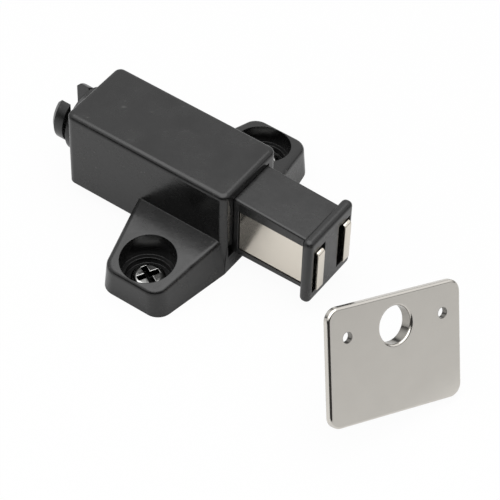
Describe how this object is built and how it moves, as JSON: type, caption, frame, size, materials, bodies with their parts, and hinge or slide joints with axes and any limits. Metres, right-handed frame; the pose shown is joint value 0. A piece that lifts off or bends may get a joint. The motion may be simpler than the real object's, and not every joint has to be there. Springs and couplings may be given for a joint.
{
  "type": "magnetic catch",
  "caption": "Push-to-open magnetic catch for a cabinet door: black housing with screw ears, sprung magnetic plunger and a separate steel strike plate.",
  "frame": {"origin": "on the mounting surface, midway between the axes of the two fixing screws", "axes": "+X along the plunger, out of the housing; +Y along the row of screws; +Z away from the mounting surface"},
  "size_m": [0.1017, 0.061, 0.036],
  "materials": {
    "housing_plastic": "fine moulded texture",
    "plunger_plastic": "satin moulding",
    "pole_steel": "nickel plated, satin",
    "ferrite": "pressed and ground ceramic",
    "spring_steel": "drawn wire",
    "follower_steel": "bent wire",
    "screw_steel": "black glossy passivation",
    "strike_steel": "nickel plated, satin"
  },
  "bodies": {
    "housing": {"housing": "housing_plastic", "screw_left": "screw_steel", "screw_right": "screw_steel", "strike_plate": "strike_steel", "return_spring": "spring_steel"},
    "plunger": {"plunger": "plunger_plastic", "magnet": "ferrite", "pole_plate_left": "pole_steel", "pole_plate_right": "pole_steel"},
    "follower": {"cam_follower": "follower_steel"}
  },
  "joints": [
    {"name": "plunger_slide", "type": "slide", "parent": "housing", "child": "plunger", "axis": [1, 0, 0], "range_m": [-0.016, 0], "stiffness_N_per_m": 250, "springref_m": 0.004, "deforming": ["return_spring"]},
    {"name": "follower_swing", "type": "hinge", "parent": "housing", "child": "follower", "pos_m": [-0.0084, 0, 0], "axis": [0, 0, 1], "range_deg": [0, 23.96]}
  ]
}
